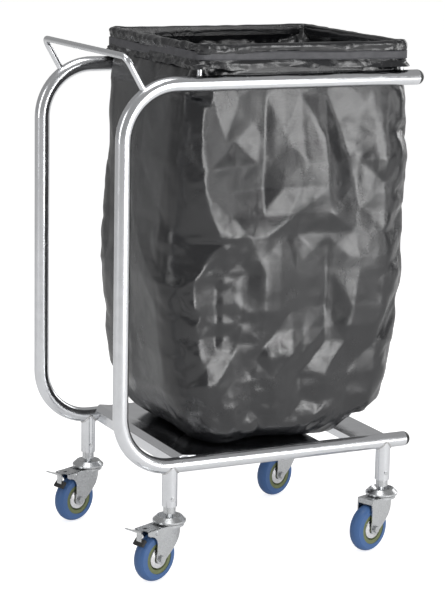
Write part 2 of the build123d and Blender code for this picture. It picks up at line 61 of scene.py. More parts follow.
# ------------------------------------------------------------------ floor, light, camera
# The trolley stands on a plain white floor in a bright studio: soft lights to the left, in
# front, low in front, at the front corner, to the right and above, and a white surround.
# The floor and the surround shine at full strength only for the camera.
floor_size = 60.0
floor_glow_for_light, floor_glow_for_camera = 0.16, 0.72
surround_for_light, surround_for_camera = 0.36, 1.0
bm = bmesh.new()
bmesh.ops.create_grid(bm, x_segments=1, y_segments=1, size=floor_size / 2)
floor_mesh = bpy.data.meshes.new("floor")
bm.to_mesh(floor_mesh)
bm.free()
floor = bpy.data.objects.new("floor", floor_mesh)
bpy.context.scene.collection.objects.link(floor)

floor_paint = bpy.data.materials.new("floor_paint")
floor_paint.use_nodes = True
floor_shader = floor_paint.node_tree.nodes["Principled BSDF"]
floor_shader.inputs["Base Color"].default_value = (0.8, 0.8, 0.8, 1)
floor_shader.inputs["Roughness"].default_value = 0.9
floor_shader.inputs["Emission Color"].default_value = (1, 1, 1, 1)
floor_ray = floor_paint.node_tree.nodes.new("ShaderNodeLightPath")
floor_glow = floor_paint.node_tree.nodes.new("ShaderNodeMapRange")
floor_glow.inputs["To Min"].default_value = floor_glow_for_light
floor_glow.inputs["To Max"].default_value = floor_glow_for_camera
floor_links = floor_paint.node_tree.links
floor_links.new(floor_ray.outputs["Is Camera Ray"], floor_glow.inputs["Value"])
floor_links.new(floor_glow.outputs["Result"], floor_shader.inputs["Emission Strength"])
floor_mesh.materials.append(floor_paint)

surround = bpy.data.worlds.new("white_surround")
bpy.context.scene.world = surround
surround.use_nodes = True
sky = surround.node_tree
seen_white = sky.nodes.new("ShaderNodeBackground")
seen_white.inputs["Strength"].default_value = surround_for_camera
bpy.context.scene.view_settings.view_transform = "Standard"
lit_white = sky.nodes["Background"]
lit_white.inputs["Color"].default_value = (1, 1, 1, 1)
lit_white.inputs["Strength"].default_value = surround_for_light
ray_kind = sky.nodes.new("ShaderNodeLightPath")
choose = sky.nodes.new("ShaderNodeMixShader")
seen_white.inputs["Color"].default_value = (1, 1, 1, 1)
sky.links.new(ray_kind.outputs["Is Camera Ray"], choose.inputs["Fac"])
sky.links.new(lit_white.outputs["Background"], choose.inputs[1])
sky.links.new(seen_white.outputs["Background"], choose.inputs[2])
sky.links.new(choose.outputs["Shader"], sky.nodes["World Output"].inputs["Surface"])


def soft_light(name, place, target, width, height, watts):
    lamp = bpy.data.lights.new(name, "AREA")
    lamp.shape = "RECTANGLE"
    lamp.size, lamp.size_y = width, height
    lamp.energy = watts
    lamp_object = bpy.data.objects.new(name, lamp)
    lamp_object.location = place
    towards = Vector(target) - Vector(place)
    lamp_object.rotation_euler = towards.to_track_quat("-Z", "Y").to_euler()
    bpy.context.scene.collection.objects.link(lamp_object)


middle = (cad_low + cad_high) / 2
soft_light("light_left", (-3.2, -0.6, 1.5), middle, 0.7, 2.2, 16)
soft_light("light_front", (0.95, -3.5, 1.05), middle, 1.3, 2.0, 50)
soft_light("light_low", (0.80, -2.05, 0.30), (0.05, -0.16, 0.42), 1.0, 0.45, 5.5)
soft_light("light_corner", (2.7, -2.3, 0.9), middle, 0.5, 1.6, 11)
soft_light("light_right", (3.0, 0.9, 1.6), middle, 0.6, 2.2, 18)
soft_light("light_above", (-0.3, -0.2, 3.2), middle, 1.4, 1.4, 34)

# The camera stands a little above the trolley's height, behind its right side.
camera_place = Vector((-1.52408, -3.08928, 1.13188))
yaw, pitch, roll = math.radians(26.2552), math.radians(11.728), math.radians(1.1619)
level_right = Vector((math.cos(yaw), -math.sin(yaw), 0))
level_ahead = Vector((math.sin(yaw), math.cos(yaw), 0))
ahead = level_ahead * math.cos(pitch) - Vector((0, 0, math.sin(pitch)))
upright = level_ahead * math.sin(pitch) + Vector((0, 0, math.cos(pitch)))
right = level_right * math.cos(roll) + upright * math.sin(roll)
above = upright * math.cos(roll) - level_right * math.sin(roll)
camera_data = bpy.data.cameras.new("camera")
camera_data.lens = 127.16
camera_data.sensor_width = 36.0
camera = bpy.data.objects.new("camera", camera_data)
camera_turn = Matrix((right, above, -ahead)).transposed().to_4x4()
camera.matrix_world = Matrix.Translation(camera_place) @ camera_turn
bpy.context.scene.collection.objects.link(camera)
bpy.context.scene.camera = camera

# ------------------------------------------------------------------ polished stainless steel
# Side tubes, legs, handle, hoop, posts and the folded base are stainless steel, polished
# after welding. Fine drawing lines and faint hand marks break up the shine.


def finish_material(name, colour, roughness, metallic=0.0):
    """A material whose Principled shader has these plain values."""
    material = bpy.data.materials.new(name)
    material.use_nodes = True
    shader = material.node_tree.nodes["Principled BSDF"]
    shader.inputs["Base Color"].default_value = (*colour, 1)
    shader.inputs["Roughness"].default_value = roughness
    shader.inputs["Metallic"].default_value = metallic
    return material


def group_socket(group, name, kind, way, default=None):
    """A new socket of a node group; way is INPUT or OUTPUT."""
    socket = group.interface.new_socket(name=name, in_out=way, socket_type=kind)
    if default is not None:
        socket.default_value = default


def linked(tree, node_type, inputs=(), **settings):
    """A node with its settings made and each (socket, source or value) of inputs put in."""
    node = tree.nodes.new(node_type)
    for key, value in settings.items():
        setattr(node, key, value)
    for socket, source in inputs:
        if hasattr(source, "is_output"):
            tree.links.new(source, node.inputs[socket])
        else:
            node.inputs[socket].default_value = source
    return node


# Polish: a mottled roughness, slow changes of tone and a fine bump, all on Object coordinates.
polish = bpy.data.node_groups.new("polish_marks", "ShaderNodeTree")
group_socket(polish, "Tone", "NodeSocketColor", "INPUT", (0.8, 0.8, 0.8, 1))
group_socket(polish, "Dark Tone", "NodeSocketColor", "INPUT", (0.7, 0.7, 0.7, 1))
group_socket(polish, "Low Roughness", "NodeSocketFloat", "INPUT", 0.1)
group_socket(polish, "High Roughness", "NodeSocketFloat", "INPUT", 0.25)
group_socket(polish, "Mark Size", "NodeSocketFloat", "INPUT", 60.0)
group_socket(polish, "Bump Depth", "NodeSocketFloat", "INPUT", 0.02)
group_socket(polish, "Color", "NodeSocketColor", "OUTPUT")
group_socket(polish, "Roughness", "NodeSocketFloat", "OUTPUT")
group_socket(polish, "Normal", "NodeSocketVector", "OUTPUT")
given = polish.nodes.new("NodeGroupInput")
result = polish.nodes.new("NodeGroupOutput")
place = linked(polish, "ShaderNodeTexCoord")
marks = linked(polish, "ShaderNodeTexNoise", [
    ("Vector", place.outputs["Object"]), ("Scale", given.outputs["Mark Size"]), ("Detail", 5.0),
    ("Roughness", 0.65),
])
grain = linked(polish, "ShaderNodeTexNoise", [
    ("Vector", place.outputs["Object"]), ("Scale", 900.0), ("Detail", 2.0),
])
marks_spread = linked(polish, "ShaderNodeMapRange", [
    ("Value", marks.outputs["Fac"]), ("From Min", 0.35), ("From Max", 0.7),
    ("To Min", given.outputs["Low Roughness"]), ("To Max", given.outputs["High Roughness"]),
])
tone = linked(polish, "ShaderNodeMix", [
    (0, marks.outputs["Fac"]), (6, given.outputs["Tone"]), (7, given.outputs["Dark Tone"]),
], data_type="RGBA")
grain_bump = linked(polish, "ShaderNodeBump", [
    ("Height", grain.outputs["Fac"]), ("Strength", given.outputs["Bump Depth"]), ("Distance", 0.0004),
])
polish.links.new(tone.outputs[2], result.inputs["Color"])
polish.links.new(marks_spread.outputs["Result"], result.inputs["Roughness"])
polish.links.new(grain_bump.outputs["Normal"], result.inputs["Normal"])


def add_polish(material, tone, dark_tone, low, high, mark_size, bump_depth):
    """Puts the polish group before a material's shader; low and high are roughnesses."""
    tree = material.node_tree
    group = tree.nodes.new("ShaderNodeGroup")
    group.node_tree = polish
    group.inputs["Tone"].default_value = (*tone, 1)
    group.inputs["Dark Tone"].default_value = (*dark_tone, 1)
    group.inputs["Low Roughness"].default_value = low
    group.inputs["High Roughness"].default_value = high
    group.inputs["Mark Size"].default_value = mark_size
    group.inputs["Bump Depth"].default_value = bump_depth
    shader = tree.nodes["Principled BSDF"]
    tree.links.new(group.outputs["Color"], shader.inputs["Base Color"])
    tree.links.new(group.outputs["Roughness"], shader.inputs["Roughness"])
    tree.links.new(group.outputs["Normal"], shader.inputs["Normal"])


tube_steel = finish_material("polished_tube", (0.8, 0.81, 0.82), 0.16, 1.0)
add_polish(tube_steel, (0.80, 0.81, 0.83), (0.62, 0.63, 0.65), 0.15, 0.29, 45.0, 0.05)
sheet_steel = finish_material("polished_sheet", (0.82, 0.83, 0.84), 0.12, 1.0)
add_polish(sheet_steel, (0.80, 0.81, 0.83), (0.66, 0.67, 0.69), 0.10, 0.22, 30.0, 0.04)


def paint(node_name, material):
    """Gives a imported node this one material."""
    mesh = nodes[node_name].data
    mesh.materials.clear()
    mesh.materials.append(material)


for name in ("side_frame_right", "side_frame_left", "legs", "push_handle", "bag_hoop", "hoop_posts"):
    paint(name, tube_steel)
for name in ("base_tray", "front_bar"):
    paint(name, sheet_steel)


def piece_from(name, bm, material, body="chassis", crease=None):
    """A finished piece from a bmesh, riding on a body. Edges sharper than crease stay crisp."""
    bmesh.ops.recalc_face_normals(bm, faces=bm.faces)
    mesh = bpy.data.meshes.new(name)
    bm.to_mesh(mesh)
    bm.free()
    for face in mesh.polygons:
        face.use_smooth = True
    if crease is not None:
        mesh.set_sharp_from_angle(angle=math.radians(crease))
    mesh.materials.append(material)
    piece = bpy.data.objects.new(name, mesh)
    bpy.context.scene.collection.objects.link(piece)
    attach(piece, body)
    return piece


# ------------------------------------------------------------------ weld beads
# Small rippled beads of weld metal close the joints of the legs and the posts.
weld_steel = finish_material("weld_metal", (0.6, 0.6, 0.6), 0.3, 1.0)
add_polish(weld_steel, (0.72, 0.72, 0.72), (0.40, 0.39, 0.38), 0.22, 0.45, 300.0, 0.2)
bead_sides = 8
tube_radius = 0.0125
post_radius = 0.004
leg_ring_steps, post_ring_steps = 64, 24
leg_bead, post_bead = 0.0013, 0.0009


def add_bead(bm, path, radius, closed, seed):
    """A rippled bead of that radius along path, a list of points."""
    count = len(path)
    rings = []
    for i, point in enumerate(path):
        before = path[(i - 1) % count] if closed or i else path[0]
        after = path[(i + 1) % count] if closed or i < count - 1 else path[-1]
        turn = (after - before).normalized().to_track_quat("Z", "Y").to_matrix().to_4x4()
        ripple = radius * (1 + 0.18 * noise.noise(Vector((i * 0.45, seed, 0.3))))
        ring = bmesh.ops.create_circle(bm, segments=bead_sides, radius=ripple,
                                       matrix=Matrix.Translation(point) @ turn)["verts"]
        rings.append(ring)
    pairs = list(zip(rings, rings[1:] + rings[:1]) if closed else zip(rings, rings[1:]))
    for first, second in pairs:
        offset = min(range(bead_sides), key=lambda k: (second[k].co - first[0].co).length)
        for k in range(bead_sides):
            a, b = first[k], first[(k + 1) % bead_sides]
            c, d = second[(k + 1 + offset) % bead_sides], second[(k + offset) % bead_sides]
            bm.faces.new((a, b, c, d))
    if not closed:
        bm.faces.new(rings[0])
        bm.faces.new(rings[-1])


bm = bmesh.new()
leg_low, leg_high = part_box("legs")
lower_centre_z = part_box("end_plugs")[0].z + tube_radius
side_line_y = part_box("side_frame_left")[1].y - tube_radius
for seed, leg_x in enumerate((leg_low.x + tube_radius, leg_high.x - tube_radius)):
    for y in (-side_line_y, side_line_y):
        ring = []
        for step in range(leg_ring_steps):
            angle = 2 * math.pi * step / leg_ring_steps
            out = tube_radius + 0.0004
            drop = math.sqrt(max(tube_radius**2 - (out * math.sin(angle))**2, 0))
            ring.append(Vector((leg_x + out * math.cos(angle), y + out * math.sin(angle),
                                lower_centre_z - drop)))
        add_bead(bm, ring, leg_bead, True, seed + 10 * y)
piece_from("leg_welds", bm, weld_steel)

bm = bmesh.new()
post_low, post_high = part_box("hoop_posts")
upper_top_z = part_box("side_frame_right")[1].z
for x in (post_low.x + post_radius, post_high.x - post_radius):
    for y in (post_low.y + post_radius, post_high.y - post_radius):
        ring = []
        for step in range(post_ring_steps):
            angle = 2 * math.pi * step / post_ring_steps
            ring.append(Vector((x + 0.0042 * math.cos(angle), y + 0.0042 * math.sin(angle),
                                upper_top_z - 0.0002)))
        add_bead(bm, ring, post_bead, True, x)
piece_from("post_welds", bm, weld_steel)

# ------------------------------------------------------------------ end plugs
# Black moulded plugs close the tube ends, with a fine sparked texture.
plug_black = finish_material("black_plug", (0.012, 0.012, 0.013), 0.5)
add_polish(plug_black, (0.010, 0.010, 0.011), (0.018, 0.018, 0.019), 0.42, 0.6, 120.0, 0.25)
paint("end_plugs", plug_black)

# ------------------------------------------------------------------ castors
# Bright zinc on the pressed forks, races, stems, screws and pedals; blue tyres on olive
# cores.
zinc = finish_material("zinc_plate", (0.7, 0.71, 0.72), 0.28, 1.0)
add_polish(zinc, (0.66, 0.67, 0.68), (0.46, 0.47, 0.48), 0.18, 0.36, 90.0, 0.15)
cover_steel = finish_material("hub_cover", (0.8, 0.8, 0.8), 0.25, 1.0)
add_polish(cover_steel, (0.86, 0.86, 0.87), (0.7, 0.7, 0.71), 0.16, 0.32, 120.0, 0.08)
spring_wire = finish_material("spring_wire", (0.3, 0.3, 0.31), 0.35, 1.0)
add_polish(spring_wire, (0.34, 0.34, 0.35), (0.22, 0.22, 0.23), 0.3, 0.45, 200.0, 0.1)
olive = finish_material("olive_core", (0.13, 0.15, 0.06), 0.5)
add_polish(olive, (0.15, 0.175, 0.075), (0.11, 0.13, 0.055), 0.42, 0.6, 150.0, 0.2)
blue = finish_material("blue_rubber", (0.04, 0.10, 0.26), 0.5)
add_polish(blue, (0.035, 0.095, 0.25), (0.055, 0.13, 0.30), 0.38, 0.6, 110.0, 0.3)
pad_black = finish_material("pad_rubber", (0.015, 0.015, 0.015), 0.7)
add_polish(pad_black, (0.014, 0.014, 0.014), (0.03, 0.03, 0.03), 0.6, 0.85, 200.0, 0.5)

paint("leg_screws", zinc)
for corner in corners:
    for name in ("castor_stem", "top_race", "castor_fork", "swivel_balls", "axle_bolt", "axle_nut",
                 "axle_sleeve"):
        paint(f"{name}_{corner}", zinc)
    paint(f"tyre_{corner}", blue)
    paint(f"wheel_core_{corner}", olive)
    paint(f"hub_covers_{corner}", cover_steel)
    if corner.startswith("back"):
        paint(f"brake_pedal_{corner}", zinc)
        paint(f"brake_rivet_{corner}", zinc)
        paint(f"brake_spring_{corner}", spring_wire)
        paint(f"brake_pad_{corner}", pad_black)

# ------------------------------------------------------------------ bag
# A charcoal polythene sack, opened out of a packed square, so it keeps the sharp grid of its
# packing folds. It hangs inside the hoop, swells between the side tubes and rests on the base.
hoop_low, hoop_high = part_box("bag_hoop")
hoop_rod_radius = 0.004
hoop_mid_x = (hoop_low.x + hoop_high.x) / 2
hoop_half_x = (hoop_high.x - hoop_low.x) / 2 - hoop_rod_radius
hoop_half_y = (hoop_high.y - hoop_low.y) / 2 - hoop_rod_radius
hoop_z = (hoop_low.z + hoop_high.z) / 2
bag_floor_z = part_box("linen_bag")[0].z

# Height above the floor, bulge past the hoop's back rod and front rod, half width, corner
# radius and how far the packing folds show, from the bottom up to the hoop.
bag_rings = [
    (0.000, -0.075, -0.095, 0.110, 0.060, 0.3),
    (0.012, -0.040, -0.062, 0.136, 0.066, 0.6),
    (0.036, -0.012, -0.012, 0.148, 0.066, 1.0),
    (0.060, 0.004, 0.006, 0.151, 0.062, 1.0),
    (0.100, 0.022, 0.018, 0.153, 0.054, 1.0),
    (0.160, 0.031, 0.029, 0.156, 0.046, 1.0),
    (0.280, 0.038, 0.036, 0.158, 0.038, 1.0),
    (0.370, 0.030, 0.036, 0.158, 0.036, 1.0),
    (0.460, 0.026, 0.033, 0.157, 0.033, 1.0),
    (0.520, 0.022, 0.028, 0.156, 0.030, 0.8),
    (0.575, 0.016, 0.020, 0.155, 0.026, 0.5),
    (0.600, 0.010, 0.012, 0.1545, 0.022, 0.3),
    (0.625, 0.002, 0.002, 0.158, 0.016, 0.2),
    (0.648, -0.0055, -0.0055, 0.1645, 0.006, 0.1),
    (0.656, -0.0050, -0.0050, 0.1655, 0.006, 0.0),
]
ring_table = np.array(bag_rings)


def ring_at(height):
    """The bag's outline at heights above its floor: low x, high x, half y, corner radius and
    how far the folds show."""
    back, front, half_y, corner, share = (
        np.interp(height, ring_table[:, 0], ring_table[:, k]) for k in range(1, 6)
    )
    low_x = hoop_mid_x - hoop_half_x - back
    high_x = hoop_mid_x + hoop_half_x + front
    return low_x, high_x, half_y, corner, share


def round_rectangle(share, low_x, high_x, half_y, corner):
    """Points and outward directions round a rounded rectangle; share runs from 0 to 1 from
    the middle of the front, by the left side, the back and the right side."""
    length_x = high_x - low_x - 2 * corner
    length_y = 2 * (half_y - corner)
    arc = corner * math.pi / 2
    total = 2 * (length_x + length_y + 2 * arc)
    s = share * total
    x, y = np.zeros_like(s), np.zeros_like(s)
    nx, ny = np.zeros_like(s), np.zeros_like(s)
    mid_x = (low_x + high_x) / 2
    half_x = (high_x - low_x) / 2
    start = np.zeros_like(s)
    stretches = [
        ("line", length_y / 2, 0.0), ("arc", arc, 0.0), ("line", length_x, 0.5), ("arc", arc, 0.5),
        ("line", length_y, 1.0), ("arc", arc, 1.0), ("line", length_x, 1.5), ("arc", arc, 1.5),
        ("line", length_y / 2 + 1e-6, 2.0),
    ]
    for number, (kind, length, turn) in enumerate(stretches):
        here = (s >= start - 1e-12) & (s <= start + length + 1e-12)
        along = s - start
        facing = turn * math.pi
        cos_f, sin_f = math.cos(facing), math.sin(facing)
        on_an_end = number in (0, 4, 8)
        reach_out = half_x if on_an_end else half_y
        run_half = (half_y if on_an_end else half_x) - corner
        if kind == "line":
            offset = along if number == 0 else along - run_half
            px = reach_out * cos_f - offset * sin_f
            py = reach_out * sin_f + offset * cos_f
            qx, qy = cos_f + 0 * s, sin_f + 0 * s
        else:
            angle = facing + along / np.maximum(corner, 1e-6)
            middle_angle = facing + math.pi / 4
            cx = np.sign(math.cos(middle_angle)) * (half_x - corner)
            cy = np.sign(math.sin(middle_angle)) * (half_y - corner)
            qx, qy = np.cos(angle), np.sin(angle)
            px, py = cx + corner * qx, cy + corner * qy
        x, y = np.where(here, mid_x + px, x), np.where(here, py, y)
        nx, ny = np.where(here, qx, nx), np.where(here, qy, ny)
        start = start + length
    return x, y, nx, ny


def lattice(u, v, columns, rows, seed):
    """Creased film: heights at the points of a lattice that closes round u, joined by flat
    triangles whose long sides alternate, so that the folds meet in diamonds. -1 to 1."""
    rng = np.random.default_rng(seed)
    heights = rng.uniform(-1, 1, (columns, rows + 2))
    a, b = (u % 1.0) * columns, np.clip(v, 0, 0.9999) * rows
    i, j = np.floor(a).astype(int) % columns, np.floor(b).astype(int)
    f, g = a - np.floor(a), b - np.floor(b)
    i2 = (i + 1) % columns
    h00, h10, h01, h11 = heights[i, j], heights[i2, j], heights[i, j + 1], heights[i2, j + 1]
    lower = h00 + f * (h10 - h00) + g * (h01 - h00)
    upper = h11 + (1 - f) * (h01 - h11) + (1 - g) * (h10 - h11)
    left = h00 + f * (h11 - h01) + g * (h01 - h00)
    right_side = h00 + f * (h10 - h00) + g * (h11 - h10)
    one = np.where(f + g < 1, lower, upper)
    other = np.where(f < g, left, right_side)
    return np.where((i + j) % 2 == 0, one, other)


def wave_noise(u, v, columns, rows, seed):
    """Smooth noise from -1 to 1 that closes round u."""
    rng = np.random.default_rng(seed)
    heights = rng.uniform(-1, 1, (columns, rows + 3))
    a, b = (u % 1.0) * columns, np.clip(v, 0, 1) * rows
    i, j = np.floor(a).astype(int) % columns, np.floor(b).astype(int)
    f, g = a - np.floor(a), b - np.floor(b)
    f, g = f * f * (3 - 2 * f), g * g * (3 - 2 * g)
    i2 = (i + 1) % columns
    low = heights[i, j] * (1 - f) + heights[i2, j] * f
    high = heights[i, j + 1] * (1 - f) + heights[i2, j + 1] * f
    return low * (1 - g) + high * g


# The right face keeps the creases of its packing: rows of points at heights above the bag's
# floor, each (x, how far it stands out), in millimetres. Flat facets join them.
right_creases = {
    640: [(-200, 0), (-93, 0), (-10, 0), (100, 0), (203, 0), (290, 0)],
    600: [(-160, 0), (-93, 0), (-10, 0), (45, 0), (100, 0), (150, 0), (203, 0), (250, 0)],
    572: [(-146, 5), (-104, -2), (-60, 3), (-10, -4), (50, 3), (96, -2), (150, 2), (203, 4), (245, 0)],
    500: [(-133, 9), (-80, -2), (-10, -8), (30, 2), (94, 9), (130, -2), (203, 7), (240, -1)],
    425: [(-115, 10), (-55, -3), (-10, -9), (20, -2), (97, 10), (150, -3), (203, 6), (245, 0)],
    385: [(-170, 1), (-104, 9), (-70, 6), (-12, -4), (45, 3), (102, 5), (160, 2), (205, 7), (270, 0)],
    352: [(-150, -2), (-93, 8), (-40, 10), (-10, 9), (50, -2), (104, -3), (150, 6), (207, 8), (250, 0)],
    290: [(-150, 2), (-95, -5), (-10, 9), (50, 0), (104, -7), (160, 6), (207, 9), (252, -2)],
    228: [(-150, 3), (-90, -6), (-40, 6), (-10, 10), (40, 2), (104, -6), (150, 9), (205, 6), (250, -3)],
    170: [(-140, 4), (-92, -5), (-55, 3), (-10, 5), (50, 8), (104, -4), (140, 4), (200, 3)],
    120: [(-170, 0), (-130, 2), (-90, 7), (-30, -2), (10, 8), (60, -3), (104, 6), (150, -3),
          (195, 4), (260, 0)],
    70: [(-115, -3), (-70, 4), (-25, -4), (20, 5), (65, -4), (110, 5), (150, -3), (190, 2)],
    30: [(-100, 0), (-40, 2), (20, -2), (80, 2), (140, -2), (185, 0)],
    -10: [(-200, 0), (-60, 0), (60, 0), (290, 0)],
}
crease_points = np.array([
    (x, height, out) for height, row in right_creases.items() for x, out in row
]) / 1000
_, _, facets, _, _, _ = geometry.delaunay_2d_cdt(
    [Vector(point[:2]) for point in crease_points], [], [], 0, 1e-6)


def facet_push(x, height):
    """How far the facets between the crease points stand out at (x, height)."""
    push = np.zeros_like(x)
    for facet in facets:
        (ax, az, ap), (bx, bz, bp), (cx, cz, cp) = (crease_points[k] for k in facet)
        area = (bx - ax) * (cz - az) - (cx - ax) * (bz - az)
        s = ((x - ax) * (cz - az) - (height - az) * (cx - ax)) / area
        t = ((bx - ax) * (height - az) - (bz - az) * (x - ax)) / area
        inside = (s >= 0) & (t >= 0) & (s + t <= 1)
        push = np.where(inside, ap + s * (bp - ap) + t * (cp - ap), push)
    return push


wall_height = float(ring_table[-1, 0])
bag_columns, bag_rows = 440, 210
floor_share = 0.16       # share of the rows that lie on the base


def bag_points(u, v):
    """The bag's skin: u round it, v from the middle of its bottom (0) up to the hoop (1)."""
    on_wall = np.clip((v - floor_share) / (1 - floor_share), 0, 1)
    height = on_wall * wall_height
    low_x, high_x, half_y, corner, share = ring_at(height)
    x, y, nx, ny = round_rectangle(u, low_x, high_x, half_y, corner)
    warp = 0.012 * wave_noise(u, on_wall, 9, 6, 3)
    big = lattice(u + warp, on_wall + warp, 14, 7, 11)
    middle_size = lattice(u + 0.4 * warp, on_wall + 0.5 * warp, 33, 17, 12)
    small = lattice(u + 0.3 * warp, on_wall, 74, 40, 13)
    crumpled = np.clip(wave_noise(u, on_wall, 12, 8, 5) * 0.9 + 0.45 - 0.5 * on_wall, 0, 1)
    near_bottom = np.clip(1 - height / 0.11, 0, 1)
    tall = lattice(u + 0.3 * warp, on_wall + warp, 44, 9, 14)
    facing_right = np.clip(-ny * 1.6 - 0.5, 0, 1)
    push = share * (0.0095 * big * (1 - 0.68 * facing_right) + 0.0022 * facing_right * tall
                    + (0.0020 + 0.0022 * crumpled + 0.003 * near_bottom) * middle_size
                    + (0.0005 + 0.0012 * crumpled + 0.0016 * near_bottom) * small)
    push *= 0.40 + 0.60 * ny**2
    push += facing_right * facet_push(x, height)
    x, y = x + nx * push, y + ny * push
    beside_tube = np.interp(height, (0.545, 0.570, 0.612, 0.624), (0.2, 0.1578, 0.1578, 0.2))
    y = np.clip(y, -beside_tube, beside_tube)
    ripple = 0.004 * near_bottom * middle_size * np.clip(on_wall * 20, 0, 1)
    z = bag_floor_z + height + ripple
    towards_middle = np.clip(v / floor_share, 0, 1)
    floor_low_x, floor_high_x, *_ = ring_at(np.array(0.0))
    mid_x = float(floor_low_x + floor_high_x) / 2
    x = mid_x + (x - mid_x) * towards_middle
    y = y * towards_middle
    return x, y, np.maximum(z, bag_floor_z)


def interpolated(field, u, v):
    """A grid of offsets, rows by columns, read at (u, v); it closes round u."""
    rows, columns = field.shape[0] - 1, field.shape[1]
    a, b = (u % 1.0) * columns, np.clip(v, 0, 1) * rows
    i, j = np.floor(a).astype(int) % columns, np.minimum(np.floor(b).astype(int), rows - 1)
    f, g = (a - np.floor(a))[:, None], (b - j)[:, None]
    i2 = (i + 1) % columns
    low = field[j, i] * (1 - f) + field[j, i2] * f
    high = field[j + 1, i] * (1 - f) + field[j + 1, i2] * f
    return low * (1 - g) + high * g


def film_mesh(columns, rows, points):
    """A closed band of film: a grid whose ends meet, wrapped by points(u, v). Each vertex
    keeps its (u, v)."""
    bm = bmesh.new()
    bmesh.ops.create_grid(bm, x_segments=columns, y_segments=rows, size=0.5)
    kept = bm.verts.layers.float_vector.new("place")
    uv = np.array([(vert.co.x + 0.5, vert.co.y + 0.5) for vert in bm.verts])
    for vert, (u, v), x, y, z in zip(bm.verts, uv, *points(uv[:, 0], uv[:, 1])):
        vert[kept] = (u, v, 0)
        vert.co = (x, y, z)
    bmesh.ops.remove_doubles(bm, verts=bm.verts, dist=1e-6)
    bmesh.ops.recalc_face_normals(bm, faces=bm.faces)
    return bm


# The film is a little larger than the space it hangs in, and air swells it, so it buckles.
cloth_columns, cloth_rows = 200, 96
film_spare = 0.05
most_move = 0.013
cloth_frames = 24


def settled_film():
    """Offsets that the loose film settles by, on a grid, rows by columns."""
    bm = film_mesh(cloth_columns, cloth_rows, bag_points)
    mesh = bpy.data.meshes.new("loose_film")
    bm.to_mesh(mesh)
    bm.free()
    loose = bpy.data.objects.new("loose_film", mesh)
    bpy.context.scene.collection.objects.link(loose)
    places = np.zeros(len(mesh.vertices) * 3, np.float32)
    mesh.attributes["place"].data.foreach_get("vector", places)
    places = places.reshape(-1, 3)
    held = loose.vertex_groups.new(name="held")
    for index, (_, v, _) in enumerate(places):
        if v > 0.985 or v < floor_share:
            held.add([index], 1.0, "REPLACE")
    cloth = loose.modifiers.new("cloth", "CLOTH")
    cloth.point_cache.frame_start, cloth.point_cache.frame_end = 1, cloth_frames
    cloth.settings.quality = 6
    cloth.settings.mass = 0.05
    cloth.settings.air_damping = 4.0
    cloth.settings.tension_stiffness = cloth.settings.compression_stiffness = 25.0
    cloth.settings.shear_stiffness = 12.0
    cloth.settings.bending_stiffness = 0.01
    cloth.settings.use_pressure = True
    cloth.settings.uniform_pressure_force = 2.0
    cloth.settings.shrink_min = -film_spare
    cloth.settings.vertex_group_mass = "held"
    cloth.settings.effector_weights.gravity = 0.0
    cloth.collision_settings.use_collision = False
    for number in range(1, cloth_frames + 1):
        bpy.context.scene.frame_set(number)
    graph = bpy.context.evaluated_depsgraph_get()
    settled = loose.evaluated_get(graph).data
    moved = np.array([
        after.co - before.co for after, before in zip(settled.vertices, mesh.vertices)
    ])
    length = np.linalg.norm(moved, axis=1, keepdims=True)
    moved *= np.minimum(1, most_move / np.maximum(length, 1e-9))
    field = np.zeros((cloth_rows + 1, cloth_columns, 3))
    column = np.rint(places[:, 0] * cloth_columns).astype(int) % cloth_columns
    field[np.rint(places[:, 1] * cloth_rows).astype(int), column] = moved
    field[0] = 0.0
    bpy.data.objects.remove(loose)
    bpy.context.scene.frame_set(1)
    return field


settling = settled_film()


def settled_points(u, v):
    """The bag's skin after it has settled, with sharp small creases where it is crushed."""
    x, y, z = bag_points(u, v)
    offset = interpolated(settling, u, v)
    on_wall = np.clip((v - floor_share) / (1 - floor_share), 0, 1)
    low_x, high_x, half_y, corner, share = ring_at(on_wall * wall_height)
    _, _, nx, ny = round_rectangle(u, low_x, high_x, half_y, corner)
    warp = 0.01 * wave_noise(u, on_wall, 16, 9, 41)
    crushed = 0.55 * wave_noise(u, on_wall, 14, 9, 42) + 0.35 + 0.8 * (0.12 - on_wall) / 0.12
    crushed = np.clip(crushed, 0, 1.3)
    coarse = lattice(u + warp, on_wall + warp, 58, 26, 43)
    fine = coarse + 0.5 * lattice(u - warp, on_wall, 116, 52, 44)
    crease = share * crushed * 0.0024 * fine * (0.5 + 0.5 * ny**2)
    give = 0.3 + 0.7 * ny**2
    x, y = x + give * offset[:, 0] + nx * crease, y + give * offset[:, 1] + ny * crease
    return x, y, np.maximum(z + offset[:, 2], bag_floor_z)


film = finish_material("bag_film", (0.02, 0.021, 0.023), 0.36)
film_tree = film.node_tree
film_shader = film_tree.nodes["Principled BSDF"]
film_shader.inputs["IOR"].default_value = 1.5
film_shader.inputs["Specular IOR Level"].default_value = 0.72
film_place = linked(film_tree, "ShaderNodeTexCoord")
film_cloud = linked(film_tree, "ShaderNodeTexNoise", [
    ("Vector", film_place.outputs["Object"]), ("Scale", 14.0), ("Detail", 6.0), ("Roughness", 0.7),
])
film_ribs = linked(film_tree, "ShaderNodeTexWave", [
    ("Vector", film_place.outputs["Object"]), ("Scale", 190.0), ("Distortion", 1.5), ("Detail", 2.0),
], wave_type="BANDS", bands_direction="Z")
film_grain = linked(film_tree, "ShaderNodeTexNoise", [
    ("Vector", film_place.outputs["Object"]), ("Scale", 420.0), ("Detail", 3.0), ("Roughness", 0.6),
])
film_tone = linked(film_tree, "ShaderNodeMix", [
    (0, film_cloud.outputs["Fac"]), (6, (0.005, 0.0052, 0.0062, 1)), (7, (0.013, 0.0134, 0.0155, 1)),
], data_type="RGBA")
film_rough = linked(film_tree, "ShaderNodeMapRange", [
    ("Value", film_cloud.outputs["Fac"]), ("From Min", 0.3), ("From Max", 0.7),
    ("To Min", 0.18), ("To Max", 0.30),
])
